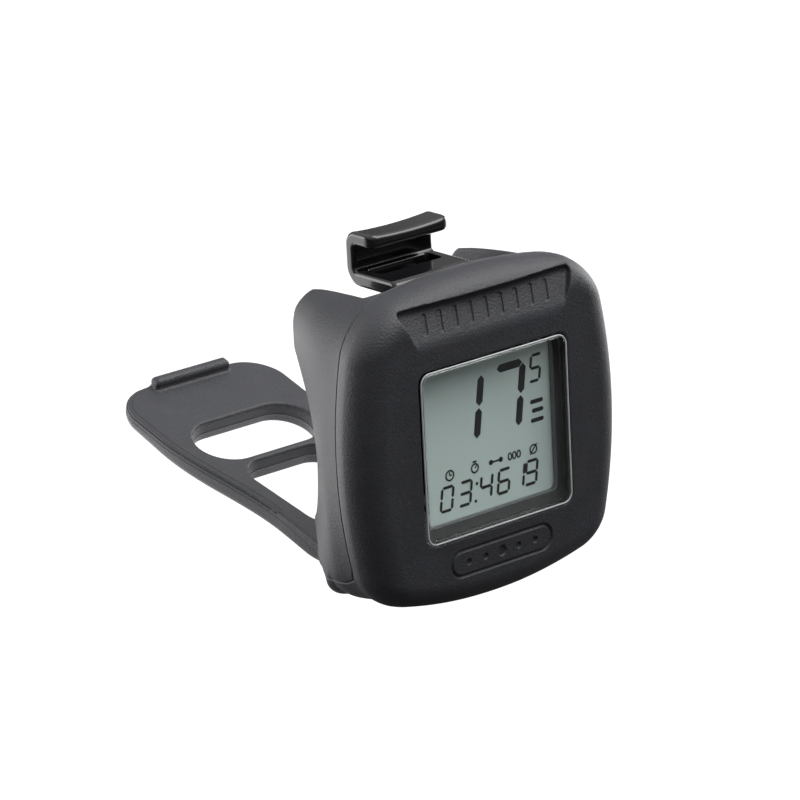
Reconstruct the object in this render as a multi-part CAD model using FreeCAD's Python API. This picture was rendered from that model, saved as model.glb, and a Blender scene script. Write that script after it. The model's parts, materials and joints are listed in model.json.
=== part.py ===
"""Cycling computer: a display module in a silicone sleeve that straps to a handlebar.

Millimetres. The finished model has its origin on the handlebar's axis: +X runs along the bar,
+Y points away from the rider's view of the face, +Z up along the face. The head's sub-parts
are drawn from the centre of the lens (x, depth behind the face, z) and then moved to that
origin. The strap is drawn flat from the point where its upper face meets the bar.
"""
import FreeCAD
import Part
import math
import os

V = FreeCAD.Vector

# ---- driving dimensions -------------------------------------------------------------------
BAR_R = 15.9            # clamp zone of a 31.8 mm handlebar
FACE_TO_BAR = 34.1      # face plane to bar axis
LENS_TO_BAR = 0.3       # bar axis above the lens centre
LENS_W = 26.0
LENS_H = 24.2
LENS_PROUD = 0.3        # lens front beyond the face
LENS_BACK = 2.65        # lens rear face

RIM_HALF_W = 23.6       # widest point of the face
RIM_TOP = 23.6
RIM_LOW = -22.6
RIM_ROLL = 4.2          # radius that turns the face into the sides
RIM_DEPTH = 4.5         # depth where the rim is widest
SEAM_DEPTH = 7.0        # parting line of the sleeve
BODY_END = 31.0         # the tapering body would end here
BASE_Z = -23.4          # flat underside the head stands on
EAR_BACK = 23.8         # rear faces of the two ears
NOTCH_FLOOR = 18.4      # floor between the ears, under the hook

PAD_END = 246.0         # angle round the bar where the saddle pad stops, 180 faces the head
PAD_HALF_W = 11.0
ROOT_FILLET = 9.0

STRAP_RISE = 17.8       # degrees, towards the rear
STRAP_T = 3.6
STRAP_CLEAR = 0.3       # between the relaxed strap and the bar
STRAP_END = 32.9        # tip, measured along the strap from the bar's tangent point
STRAP_START = -17.5
SLOT_NEAR = (-9.4, 9.0)       # slot for thin bars, start and end along the strap
SLOT_FAR = (10.6, 20.3)       # slot for thick bars
BENDS = 5               # places where the strap bends round the bar
BEND_ANGLE = 20.0
BEND_GAP = 0.3

CASE_HALF_W = 19.0
CASE_TOP = 17.2
CASE_LOW = -18.6
CASE_R = 5.0
CASE_WALL = 1.4
CASE_FRONT = 1.4        # front of the case, behind the sleeve's face
CASE_SPLIT = 8.4        # rear edge of the front case
GASKET_T = 0.4
FLANGE_BACK = 11.0      # rear face of the rear case's flange
DRUM_HALF_W = 14.3
DRUM_TOP = 14.4
DRUM_LOW = -13.6
DRUM_BACK = 16.4
FIT = 0.1               # sleeve to case, each side

CELL_R = 10.0           # CR2032 coin cell
CELL_T = 3.2
CELL_FRONT = 11.6
CELL_Z = -0.4
DOOR_R = 11.5
DOOR_FRONT = 14.9

BOARD_FRONT = 7.1
BOARD_T = 1.0
BOARD_BACK = BOARD_FRONT + BOARD_T
BUTTON_Z = -15.4
HOOK_HALF_W = 7.2
HOOK_SCREW_X = (-4.5, 4.5)
HOOK_SCREW_Y = 14.8
LCD_FRONT = 3.4           # polariser, then the two glass plates and the reflector
GLASS_FRONT = 3.6
GLASS_STEP = 4.3
GLASS_BACK = 5.0
REFLECTOR_BACK = 5.15
LCD_HALF_W = 12.2
STRIP_HALF_W = 10.5       # elastomer strips between the glass and the board
STRIP_T = 1.15
STRIP_LOWS = (10.95, -11.8)
SCREW_SPOTS = [(sx * 15.9, z) for sx in (-1, 1) for z in (14.0, -15.2)]


# ---- shape helpers ------------------------------------------------------------------------
def box(x0, x1, y0, y1, z0, z1):
    return Part.makeBox(x1 - x0, y1 - y0, z1 - z0, V(x0, y0, z0))


def rod_y(x, z, radius, y0, y1):
    return Part.makeCylinder(radius, y1 - y0, V(x, y0, z), V(0, 1, 0))


def edges_along(shape, axis, keep=None):
    """Straight edges parallel to axis, those only for which keep(midpoint) is true."""
    found = []
    for edge in shape.Edges:
        if not isinstance(edge.Curve, Part.Line):
            continue
        direction = edge.Curve.Direction
        middle = edge.valueAt((edge.FirstParameter + edge.LastParameter) / 2)
        if abs(direction.dot(axis)) > 0.999 and (keep is None or keep(middle)):
            found.append(edge)
    return found


def round_along(shape, axis, radius, keep=None):
    return shape.makeFillet(radius, edges_along(shape, axis, keep))


def plate(half_w, z0, z1, radius, y0, y1):
    """A block with its four edges along Y rounded."""
    return round_along(box(-half_w, half_w, y0, y1, z0, z1), V(0, 1, 0), radius)


def prism_x(points, half_w):
    """A side profile of (y, z) points, pulled out to both sides."""
    wire = Part.makePolygon([V(-half_w, y, z) for y, z in points + points[:1]])
    return Part.Face(wire).extrude(V(2 * half_w, 0, 0))


def arc(a, b, c):
    return Part.Arc(a, b, c).toShape()


# ---- the silicone sleeve ------------------------------------------------------------------
def outline(y, half_w, top, low, top_corner, low_corner, radii):
    """Section of the body at depth y: four bowed sides with rounded corners."""
    tx, tz = top_corner
    bx, bz = low_corner
    middle_z = (tz + bz) / 2
    sides = [
        arc(V(-tx, y, tz), V(0, y, top), V(tx, y, tz)),
        arc(V(tx, y, tz), V(half_w, y, middle_z), V(bx, y, bz)),
        arc(V(bx, y, bz), V(0, y, low), V(-bx, y, bz)),
        arc(V(-bx, y, bz), V(-half_w, y, middle_z), V(-tx, y, tz)),
    ]
    slab = Part.Face(Part.Wire(sides)).extrude(V(0, 1, 0))
    slab = round_along(slab, V(0, 1, 0), radii[0], lambda p: p.z > 0)
    slab = round_along(slab, V(0, 1, 0), radii[1], lambda p: p.z < 0)
    faces = [f for f in slab.Faces if abs(f.CenterOfMass.y - y) < 1e-6]
    return faces[0].OuterWire


def rim_section(y):
    return outline(y, RIM_HALF_W, RIM_TOP, RIM_LOW, (20.6, 21.1), (20.4, -19.4), (5.5, 4.5))


def body_block():
    """Rim with a rolled front edge, then the body tapering to the rear."""
    rim = Part.Face(rim_section(0)).extrude(V(0, RIM_DEPTH, 0))
    front = [f for f in rim.Faces if abs(f.CenterOfMass.y) < 1e-6][0]
    rim = rim.makeFillet(RIM_ROLL, front.Edges)
    seam = outline(SEAM_DEPTH, RIM_HALF_W - 0.9, 22.9, -23.9, (20.0, 20.6), (19.6, -20.6), (5.5, 4.5))
    back = outline(BODY_END, 11.9, 20.9, -25.2, (11.6, 19.9), (11.4, -25.0), (4.2, 3.2))
    collar = Part.makeLoft([rim_section(RIM_DEPTH), seam], True, True)
    taper = Part.makeLoft([seam, back], True, True)
    return rim.multiFuse([collar, taper])


def bar_point(angle, radius=BAR_R):
    """(y, z) of a point round the bar, from the lens centre; 180 degrees faces the module."""
    a = math.radians(angle)
    return (FACE_TO_BAR + radius * math.cos(a), LENS_TO_BAR + radius * math.sin(a))


def strap_plane_point(s, depth=0.0):
    """(y, z) of a point s along the strap and depth below its upper face."""
    a = math.radians(STRAP_RISE)
    reach = BAR_R + STRAP_CLEAR + depth
    return (FACE_TO_BAR + s * math.cos(a) + reach * math.sin(a),
            LENS_TO_BAR + s * math.sin(a) - reach * math.cos(a))


def side_profile():
    """Side view of the head: ears, saddle, fillet into the strap, flat underside."""
    wall_y = bar_point(180)[0]
    a = math.radians(STRAP_RISE)
    # centre of the fillet between the upright saddle wall and the strap's upper face
    cy = wall_y + ROOT_FILLET
    py, pz = strap_plane_point(0)
    cz = pz + (cy - py) * math.tan(a) + ROOT_FILLET / math.cos(a)
    low = (cy + ROOT_FILLET * math.sin(a), cz - ROOT_FILLET * math.cos(a))
    turn = math.radians(225 + STRAP_RISE / 2)
    mid = (cy + ROOT_FILLET * math.cos(turn), cz + ROOT_FILLET * math.sin(turn))
    top_arc = math.degrees(math.acos((EAR_BACK - FACE_TO_BAR) / BAR_R))
    ear_low = bar_point(top_arc)
    ear_mid = bar_point((top_arc + 180) / 2)
    flat_end = strap_plane_point(0, STRAP_T)
    base_y = flat_end[0] + (BASE_Z - flat_end[1]) / math.tan(a)
    under = (low[0] + STRAP_T * math.sin(a), low[1] - STRAP_T * math.cos(a))

    def at(p):
        return V(-30, p[0], p[1])

    chain = [(-1, 26), (EAR_BACK, 26), ear_low]
    edges = [Part.makeLine(at(p), at(q)) for p, q in zip(chain, chain[1:])]
    edges.append(arc(at(ear_low), at(ear_mid), at((wall_y, LENS_TO_BAR))))
    edges.append(Part.makeLine(at((wall_y, LENS_TO_BAR)), at((wall_y, cz))))
    edges.append(arc(at((wall_y, cz)), at(mid), at(low)))
    chain = [low, under, (base_y, BASE_Z), (9.5, BASE_Z), (5.0, -22.8),
             (-1, -22.8), (-1, 26)]
    edges += [Part.makeLine(at(p), at(q)) for p, q in zip(chain, chain[1:])]
    return Part.Face(Part.Wire(edges)).extrude(V(60, 0, 0))


def saddle_pad():
    """Thick middle of the saddle, whose face follows the bar down to the strap's root."""
    first, last = 182.0, PAD_END
    inner = [bar_point(first, BAR_R + 6), strap_plane_point(-19, 1), strap_plane_point(-10.2, 1)]
    edges = [arc(*[V(-PAD_HALF_W, *bar_point(a)) for a in (first, (first + last) / 2, last)])]
    chain = [bar_point(last), inner[2], inner[1], inner[0], bar_point(first)]
    for p, q in zip(chain, chain[1:]):
        edges.append(Part.makeLine(V(-PAD_HALF_W, *p), V(-PAD_HALF_W, *q)))
    return Part.Face(Part.Wire(edges)).extrude(V(2 * PAD_HALF_W, 0, 0))


def notch():
    """The open space between the ears, slightly narrower at the rear."""
    corners = [(-13.8, 7.8), (13.8, 7.8), (12.4, 26), (-12.4, 26)]
    wire = Part.makePolygon([V(x, y, NOTCH_FLOOR) for x, y in corners + corners[:1]])
    return round_along(Part.Face(wire).extrude(V(0, 0, 12)), V(0, 0, 1), 2.5, lambda p: p.y < 10)


def brand_recess():
    """Shallow sloping facet in the upper rim, wider at its top."""
    corners = [(-13.0, 15.9), (13.0, 15.9), (15.6, 21.0), (-15.6, 21.0)]
    wire = Part.makePolygon([V(x, -1, z) for x, z in corners + corners[:1]])
    wedge = Part.Face(wire).extrude(V(0, 4, 0))
    slope = prism_x([(0, 15.9), (2.3, 21.0), (-4, 21.0), (-4, 15.9)], 20)
    return wedge.common(slope)


def module_space():
    """Everything hard inside the sleeve, with a little room."""
    flange = plate(CASE_HALF_W + FIT, CASE_LOW - FIT, CASE_TOP + FIT, CASE_R, CASE_FRONT,
                   FLANGE_BACK + FIT)
    drum = plate(DRUM_HALF_W + FIT, DRUM_LOW - FIT, DRUM_TOP + FIT, 4.0, FLANGE_BACK - 1,
                 DRUM_BACK + FIT)
    foot = box(-HOOK_HALF_W - FIT, HOOK_HALF_W + FIT, FLANGE_BACK, DRUM_BACK + FIT, DRUM_TOP - 1, 17.1)
    slot = box(-HOOK_HALF_W - FIT, HOOK_HALF_W + FIT, FLANGE_BACK - FIT, 13.0, DRUM_TOP, 24)
    heads = [rod_y(x, z, 1.7, FLANGE_BACK - 1, FLANGE_BACK + 1.3) for x, z in SCREW_SPOTS]
    return flange.multiFuse([drum, foot, slot] + heads)


def strap_outline():
    """Flat outline of the strap: waisted near the head, broad and round at the tip."""
    right = [
        arc(V(12.7, STRAP_START, 0), V(10.7, -5.6, 0), V(11.9, 5.0, 0)),
        arc(V(11.9, 5.0, 0), V(13.4, 13.5, 0), V(14.1, 25.5, 0)),
        arc(V(14.1, 25.5, 0), V(12.6, 30.7, 0), V(8.3, STRAP_END - 0.4, 0)),
    ]
    tip = [arc(V(8.3, STRAP_END - 0.4, 0), V(0, STRAP_END, 0), V(-8.3, STRAP_END - 0.4, 0))]
    left = [e.mirror(V(0, 0, 0), V(1, 0, 0)) for e in right]
    root = [Part.makeLine(V(-12.7, STRAP_START, 0), V(12.7, STRAP_START, 0))]
    edges = right + tip + left + root
    return Part.Face(Part.Wire(Part.__sortEdges__(edges)))


def strap_sheet():
    """The whole relaxed strap, upper face at z = 0, with both slots and the pull rib."""
    sheet = strap_outline().extrude(V(0, 0, -STRAP_T))
    near = [V(x, y, -5) for x, y in ((-6.3, SLOT_NEAR[0]), (6.3, SLOT_NEAR[0]),
                                     (8.2, SLOT_NEAR[1]), (-8.2, SLOT_NEAR[1]))]
    near_slot = Part.Face(Part.makePolygon(near + near[:1])).extrude(V(0, 0, 10))
    near_slot = round_along(near_slot, V(0, 0, 1), 4.5, lambda p: p.y < 0)
    near_slot = round_along(near_slot, V(0, 0, 1), 3.5, lambda p: p.y > 0)
    far_r = (SLOT_FAR[1] - SLOT_FAR[0]) / 2
    far_slot = box(-10.1, 10.1, SLOT_FAR[0], SLOT_FAR[1], -5, 5)
    far_slot = round_along(far_slot, V(0, 0, 1), far_r - 0.01)
    rib = box(-6.8, 6.8, STRAP_END - 2.4, STRAP_END - 0.5, -0.5, 1.6)
    rib = round_along(rib, V(1, 0, 0), 0.9, lambda p: p.z > 0)
    return sheet.cut(near_slot.fuse(far_slot)).fuse(rib).removeSplitter()


def bend_station(i):
    """Distance along the strap of bend i, so that its straight stretches lie on the bar."""
    return (2 * i + 1) * (BAR_R + STRAP_CLEAR) * math.tan(math.radians(BEND_ANGLE / 2))


def strap_stretch(sheet, start, end):
    """The length of strap between two stations, moved to its place on the head."""
    piece = sheet.common(box(-20, 20, start, end, -10, 10))
    y, z = strap_plane_point(0)
    piece.rotate(V(0, 0, 0), V(1, 0, 0), STRAP_RISE)
    piece.translate(V(0, y, z))
    return piece


def silicone_sleeve(sheet):
    body = body_block().common(side_profile())
    body = body.fuse(saddle_pad())
    body = body.fuse(strap_stretch(sheet, STRAP_START, bend_station(0) - BEND_GAP / 2))
    body = body.common(box(-30, 30, -1, 60, BASE_Z, 30))
    body = body.cut(notch().fuse(brand_recess()))
    body = body.cut(module_space())
    window = plate(LENS_W / 2 + 0.25, -LENS_H / 2 - 0.25, LENS_H / 2 + 0.25, 1.7, -1, 3)
    return body.cut(window).removeSplitter()


# ---- hook ---------------------------------------------------------------------------------
def strap_hook():
    """Foot under the sleeve, upright, plate over the bar and a lip that points forward."""
    front, back = FLANGE_BACK, 21.7
    profile = [
        (front, DRUM_TOP), (DRUM_BACK - 0.2, DRUM_TOP), (DRUM_BACK - 0.2, 16.0), (12.9, 16.0),
        (12.9, 19.4), (back, 19.4), (back, 27.2), (16.0, 27.2), (16.0, 25.2), (19.8, 25.2),
        (19.8, 21.6), (front, 21.6),
    ]
    hook = prism_x(profile, HOOK_HALF_W)

    def near(y, z):
        return lambda p: math.hypot(p.y - y, p.z - z) < 0.1

    for y, z, radius in ((back, 19.4, 2.0), (back, 27.2, 2.0), (front, 21.6, 1.6), (16.0, 27.2, 1.1),
                         (16.0, 25.2, 0.7), (19.8, 25.2, 0.5), (19.8, 21.6, 0.5), (12.9, 19.4, 0.6)):
        hook = round_along(hook, V(1, 0, 0), radius, near(y, z))
    window = box(-5.4, 5.4, 16.3, 19.5, 15, 22)
    holes = [Part.makeCylinder(0.85, 4, V(x, HOOK_SCREW_Y, 13), V(0, 0, 1)) for x in HOOK_SCREW_X]
    return hook.cut(window.common(box(-9, 9, 16.3, 19.5, 18, 22))).cut(holes[0].fuse(holes[1]))


def hook_screws():
    """Two pan-head screws that hold the hook's foot to the rear case."""
    screws = []
    for x in HOOK_SCREW_X:
        shank = Part.makeCylinder(0.8, 4.0, V(x, HOOK_SCREW_Y, 12.0), V(0, 0, 1))
        head = Part.makeCylinder(1.3, 0.9, V(x, HOOK_SCREW_Y, 16.0), V(0, 0, 1))
        slot = box(x - 1.0, x + 1.0, 14.6, 15.0, 16.5, 17.2)
        screws.append(shank.fuse(head).cut(slot))
    return Part.makeCompound(screws)


# ---- module case --------------------------------------------------------------------------
def front_case():
    shell = plate(CASE_HALF_W, CASE_LOW, CASE_TOP, CASE_R, CASE_FRONT, CASE_SPLIT)
    inner = plate(CASE_HALF_W - CASE_WALL, CASE_LOW + CASE_WALL, CASE_TOP - CASE_WALL,
                  CASE_R - CASE_WALL, 3.4, CASE_SPLIT)
    pocket = plate(LENS_W / 2 + 0.08, -LENS_H / 2 - 0.08, LENS_H / 2 + 0.08, 1.6, 0, 2.8)
    window = plate(11.6, -10.3, 11.4, 1.0, 2, 4)
    posts = [rod_y(x, z, 1.6, 3.0, CASE_SPLIT) for x, z in SCREW_SPOTS]
    pilots = [rod_y(x, z, 0.65, 4.6, 9) for x, z in SCREW_SPOTS]
    button = plate(5.2, BUTTON_Z - 1.75, BUTTON_Z + 1.75, 1.7, 0, 4)
    shell = shell.cut(inner).multiFuse(posts)
    return shell.cut(pocket.multiFuse([window, button] + pilots))


def rear_case():
    """Flange that meets the front case, and a raised drum that holds the coin cell."""
    start = CASE_SPLIT + GASKET_T
    flange = plate(CASE_HALF_W, CASE_LOW, CASE_TOP, CASE_R, start, FLANGE_BACK)
    drum = plate(DRUM_HALF_W, DRUM_LOW, DRUM_TOP, 4.0, FLANGE_BACK - 1, DRUM_BACK)
    hollow = plate(CASE_HALF_W - CASE_WALL, CASE_LOW + CASE_WALL, CASE_TOP - CASE_WALL,
                   CASE_R - CASE_WALL, start - 1, FLANGE_BACK - 1.2)
    inner = plate(DRUM_HALF_W - 1.4, DRUM_LOW + 1.4, DRUM_TOP - 2.4, 2.6, start - 1, 13.0)
    cup = rod_y(0, CELL_Z, 11.5, 10.6, 13.4)
    posts = [rod_y(x, z, 1.6, start, FLANGE_BACK) for x, z in SCREW_SPOTS]
    case = flange.fuse(drum).cut(hollow.fuse(inner)).multiFuse([cup] + posts)
    cuts = [
        rod_y(0, CELL_Z, CELL_R + 0.3, 11.3, 14),
        rod_y(0, CELL_Z, DOOR_R + 0.1, 13.9, 17),
        rod_y(0, CELL_Z, 12.8, 14.75, 15.65),
        box(-12.7, 12.7, 14.75, 17, CELL_Z - 2.6, CELL_Z + 2.6),
        box(-11.0, -9.9, 8, 14, CELL_Z - 1.9, CELL_Z + 1.9),
        box(8.4, 9.3, 8, 12, CELL_Z - 2.2, CELL_Z + 2.2),
    ]
    cuts += [rod_y(x, z, 0.9, start - 1, FLANGE_BACK + 1) for x, z in SCREW_SPOTS]
    cuts += [Part.makeCylinder(0.8, 3, V(x, HOOK_SCREW_Y, 12), V(0, 0, 1)) for x in HOOK_SCREW_X]
    return case.cut(cuts[0].multiFuse(cuts[1:]))


def case_gasket():
    outer = plate(CASE_HALF_W - 0.3, CASE_LOW + 0.3, CASE_TOP - 0.3, CASE_R - 0.3, CASE_SPLIT,
                  CASE_SPLIT + GASKET_T)
    inner = plate(CASE_HALF_W - 1.3, CASE_LOW + 1.3, CASE_TOP - 1.3, CASE_R - 1.3, 8, 9)
    posts = [rod_y(x, z, 1.65, 8, 9) for x, z in SCREW_SPOTS]
    return outer.cut(inner.multiFuse(posts))


def case_screws():
    screws = []
    for x, z in SCREW_SPOTS:
        shank = rod_y(x, z, 0.65, 5.2, FLANGE_BACK)
        head = rod_y(x, z, 1.4, FLANGE_BACK, FLANGE_BACK + 1.1)
        cross = box(x - 0.9, x + 0.9, 11.6, 13, z - 0.2, z + 0.2)
        cross = cross.fuse(box(x - 0.2, x + 0.2, 11.6, 13, z - 0.9, z + 0.9))
        screws.append(shank.fuse(head).cut(cross))
    return Part.makeCompound(screws)


# ---- display ------------------------------------------------------------------------------
def display_lens():
    """Thick clear block with a bevelled front edge."""
    lens = plate(LENS_W / 2, -LENS_H / 2, LENS_H / 2, 1.5, -LENS_PROUD, LENS_BACK)
    front = [f for f in lens.Faces if abs(f.CenterOfMass.y + LENS_PROUD) < 1e-6][0]
    return lens.makeChamfer(0.35, front.Edges)


def lens_tape():
    outer = plate(LENS_W / 2 - 0.2, -LENS_H / 2 + 0.2, LENS_H / 2 - 0.2, 1.3, LENS_BACK, 2.8)
    return outer.cut(plate(11.7, -10.4, 11.5, 1.0, 2, 4))


def lcd_polariser():
    return box(-12.0, 12.0, LCD_FRONT, GLASS_FRONT, -11.8, 12.2)


def lcd_glass():
    """Front plate and a shorter rear plate, whose missing edges leave the contact ledges."""
    front = box(-LCD_HALF_W, LCD_HALF_W, GLASS_FRONT, GLASS_STEP, -12.0, 12.4)
    rear = box(-LCD_HALF_W, LCD_HALF_W, GLASS_STEP, GLASS_BACK, -10.4, 10.8)
    return Part.makeCompound([front, rear])


def lcd_reflector():
    return box(-11.9, 11.9, GLASS_BACK, REFLECTOR_BACK, -10.2, 10.6)


def contact_strips():
    """Two elastomer strips that join the glass to the board."""
    strips = [box(-STRIP_HALF_W, STRIP_HALF_W, GLASS_STEP, BOARD_FRONT, low, low + STRIP_T)
              for low in STRIP_LOWS]
    return Part.makeCompound(strips)


def lcd_holder():
    block = box(-13.6, 13.6, LCD_FRONT, BOARD_FRONT, -12.9, 13.2)
    pocket = box(-LCD_HALF_W - 0.1, LCD_HALF_W + 0.1, 3, REFLECTOR_BACK, -12.1, 12.5)
    window = box(-9.5, 9.5, 3, 9, -9.5, 9.8)
    slots = [box(-10.6, 10.6, 3, 9, 10.85, 12.2), box(-10.6, 10.6, 3, 9, -11.9, -10.55)]
    return block.cut(pocket.multiFuse([window] + slots))


# ---- electronics --------------------------------------------------------------------------
def main_board():
    board = box(-16.9, 16.9, BOARD_FRONT, BOARD_BACK, -12.9, 11.7)
    return board.fuse(box(-13.7, 13.7, BOARD_FRONT, BOARD_BACK, -17.0, 15.2))


def processor():
    """Square package with a row of pins on each side."""
    body = box(-3.5, 3.5, BOARD_BACK + 0.1, BOARD_BACK + 1.5, -3.5, 3.5)
    pins = []
    for i in range(8):
        u = -2.8 + 0.8 * i
        pins.append(box(u - 0.15, u + 0.15, BOARD_BACK, BOARD_BACK + 0.3, -4.5, 4.5))
        pins.append(box(-4.5, 4.5, BOARD_BACK, BOARD_BACK + 0.3, u - 0.15, u + 0.15))
    chip = body.multiFuse(pins)
    chip.translate(V(1.0, 0, 1.5))
    return chip


def sensor_coil():
    """Ferrite rod with a winding, which picks up the wheel sensor's signal."""
    rod = Part.makeCylinder(0.8, 12, V(-8.0, 9.35, -6), V(0, 0, 1))
    winding = Part.makeCylinder(1.15, 8, V(-8.0, 9.35, -4), V(0, 0, 1))
    foot = box(-8.7, -7.3, BOARD_BACK, 9.1, -5.6, 5.6)
    return rod.multiFuse([winding, foot])


def clock_crystal():
    can = Part.makeCylinder(1.0, 6, V(11.2, 9.2, -3), V(0, 0, 1))
    legs = [box(x - 0.15, x + 0.15, BOARD_BACK, 9.35, -4.2, -2.9) for x in (10.8, 11.6)]
    return can.multiFuse(legs)


def board_parts():
    """Small resistors and capacitors."""
    chips = []
    for i in range(6):
        x = -9.5 + 3.4 * i
        chips.append(box(x, x + 1.6, BOARD_BACK, BOARD_BACK + 0.6, -14.6, -13.8))
    for i in range(4):
        z = 6.8 + 1.4 * i
        chips.append(box(-8.2, -6.6, BOARD_BACK, BOARD_BACK + 0.6, z, z + 0.8))
    return Part.makeCompound(chips)


def switch_body():
    body = box(-2.25, 2.25, 5.3, BOARD_FRONT, BUTTON_Z - 1.6, BUTTON_Z + 1.6)
    return body.cut(rod_y(0, BUTTON_Z, 1.05, 5, 6.5))


def switch_stem():
    return rod_y(0, BUTTON_Z, 1.0, 4.6, 5.9)


def mode_button():
    """Oblong pad under the sleeve's face, with a flange and a post towards the switch."""
    pad = plate(5.05, BUTTON_Z - 1.6, BUTTON_Z + 1.6, 1.55, CASE_FRONT + 0.1, 3.5)
    flange = box(-6.2, 6.2, 3.45, 3.9, BUTTON_Z - 1.7, BUTTON_Z + 1.9)
    return pad.multiFuse([flange, rod_y(0, BUTTON_Z, 1.3, 3.8, 4.3)])


# ---- battery ------------------------------------------------------------------------------
def coin_cell():
    """Can, and the smaller negative cap that faces the board."""
    can = rod_y(0, CELL_Z, CELL_R, CELL_FRONT + 0.4, CELL_FRONT + CELL_T)
    return can.fuse(rod_y(0, CELL_Z, CELL_R - 1.0, CELL_FRONT, CELL_FRONT + 0.5))


def cell_contact_minus():
    """Springy tongue under the cell, with a leg through the cup to the board."""
    tongue = box(-5.0, 9.0, 11.3, 11.6, CELL_Z - 1.6, CELL_Z + 1.6)
    leg = box(8.7, 9.0, BOARD_BACK, 11.6, CELL_Z - 1.6, CELL_Z + 1.6)
    return tongue.fuse(leg)


def cell_contact_plus():
    """Upright blade that presses on the side of the cell."""
    blade = box(-10.4, -10.05, BOARD_BACK, 13.6, CELL_Z - 1.4, CELL_Z + 1.4)
    return blade.fuse(box(-10.9, -10.05, 8.1, 8.4, CELL_Z - 1.4, CELL_Z + 1.4))


def battery_door():
    """Quarter-turn disc with two lugs and a coin slot."""
    disc = rod_y(0, CELL_Z, DOOR_R, DOOR_FRONT, DRUM_BACK)
    ring = rod_y(0, CELL_Z, 12.6, DOOR_FRONT, DOOR_FRONT + 0.6)
    lugs = ring.common(box(-14, 14, 14, 16, CELL_Z - 2.4, CELL_Z + 2.4))
    lugs.rotate(V(0, 0, CELL_Z), V(0, 1, 0), 90)
    slot = plate(7.0, CELL_Z - 0.9, CELL_Z + 0.9, 0.85, 15.7, 17)
    slot.rotate(V(0, 0, CELL_Z), V(0, 1, 0), 90)
    return disc.fuse(lugs).cut(slot)


def door_seal():
    return Part.makeTorus(10.95, 0.44, V(0, 14.38, CELL_Z), V(0, 1, 0))


# ---- export -------------------------------------------------------------------------------
def export(name, shape):
    shape = shape.copy()
    shape.translate(V(0, -FACE_TO_BAR, -LENS_TO_BAR))
    assert shape.isValid(), name
    shape.exportStep("parts/%s.step" % name)


def main():
    os.makedirs("parts", exist_ok=True)
    sheet = strap_sheet()
    export("silicone_sleeve", silicone_sleeve(sheet))
    for i in range(BENDS):
        start = bend_station(i) + BEND_GAP / 2
        end = bend_station(i + 1) - BEND_GAP / 2 if i < BENDS - 1 else STRAP_END + 1
        export("strap_link_%d" % (i + 1), strap_stretch(sheet, start, end))
    for make in (strap_hook, hook_screws, front_case, rear_case, case_gasket, case_screws,
                 display_lens, lens_tape, lcd_polariser, lcd_glass, lcd_reflector, contact_strips,
                 lcd_holder, main_board, processor, sensor_coil, clock_crystal, board_parts,
                 switch_body, switch_stem, mode_button, coin_cell, cell_contact_minus,
                 cell_contact_plus, battery_door, door_seal):
        export(make.__name__, make())


main()
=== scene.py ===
"""Cycling computer in a silicone sleeve: the visual model, its materials, lights and camera."""
import json
import math

import bmesh
import bpy
import numpy as np
from mathutils import Matrix, Vector


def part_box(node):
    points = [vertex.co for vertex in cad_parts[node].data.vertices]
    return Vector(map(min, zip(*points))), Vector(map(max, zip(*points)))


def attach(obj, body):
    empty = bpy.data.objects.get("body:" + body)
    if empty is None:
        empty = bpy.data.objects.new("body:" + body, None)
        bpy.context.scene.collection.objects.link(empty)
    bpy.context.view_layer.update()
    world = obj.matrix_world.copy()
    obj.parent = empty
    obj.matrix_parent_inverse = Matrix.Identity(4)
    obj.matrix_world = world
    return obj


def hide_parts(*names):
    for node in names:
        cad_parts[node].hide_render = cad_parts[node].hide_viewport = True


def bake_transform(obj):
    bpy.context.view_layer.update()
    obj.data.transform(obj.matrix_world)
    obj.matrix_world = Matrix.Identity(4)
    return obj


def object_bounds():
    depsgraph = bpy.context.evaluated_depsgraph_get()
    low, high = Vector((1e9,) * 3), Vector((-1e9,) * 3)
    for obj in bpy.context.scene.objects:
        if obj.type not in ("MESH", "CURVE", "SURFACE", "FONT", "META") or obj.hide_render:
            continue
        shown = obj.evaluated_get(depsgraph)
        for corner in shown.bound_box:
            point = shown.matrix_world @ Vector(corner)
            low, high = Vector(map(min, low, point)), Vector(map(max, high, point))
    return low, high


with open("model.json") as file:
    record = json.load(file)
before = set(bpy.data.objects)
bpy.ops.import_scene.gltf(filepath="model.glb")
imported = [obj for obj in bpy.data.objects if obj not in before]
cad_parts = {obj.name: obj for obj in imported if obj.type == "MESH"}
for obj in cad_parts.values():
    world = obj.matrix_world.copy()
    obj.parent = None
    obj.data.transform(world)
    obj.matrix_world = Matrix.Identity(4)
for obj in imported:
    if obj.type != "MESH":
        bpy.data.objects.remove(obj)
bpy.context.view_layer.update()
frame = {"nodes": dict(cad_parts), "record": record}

# ---------------------------------------------------------------------------
# Driving dimensions, in mm. Face frame: x to the right, y into the display, z up, with its
# origin at the middle of the lens's opening.
# ---------------------------------------------------------------------------
MM = 0.001
LENS_LOW, LENS_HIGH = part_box("display_lens")
LENS_PROUD = 0.3
FACE_ORIGIN = Vector(((LENS_LOW.x + LENS_HIGH.x) / 2, LENS_LOW.y + LENS_PROUD * MM,
                      (LENS_LOW.z + LENS_HIGH.z) / 2))

BAR_R = 15.9              # handlebar
BAR_Y, BAR_Z = 34.1, 0.3
STRAP_CLEAR = 0.3
STRAP_RISE = math.radians(17.8)
STRAP_COS, STRAP_SIN = math.cos(STRAP_RISE), math.sin(STRAP_RISE)
STRAP_Y = BAR_Y + (BAR_R + STRAP_CLEAR) * STRAP_SIN
STRAP_Z = BAR_Z - (BAR_R + STRAP_CLEAR) * STRAP_COS
STRAP_T = 3.6
STRAP_TIP_T = 2.8
STRAP_END = 32.8
BENDS = 5
BEND_ANGLE = math.radians(20)
BEND_PITCH = 2 * (BAR_R + STRAP_CLEAR) * math.tan(BEND_ANGLE / 2)

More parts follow.
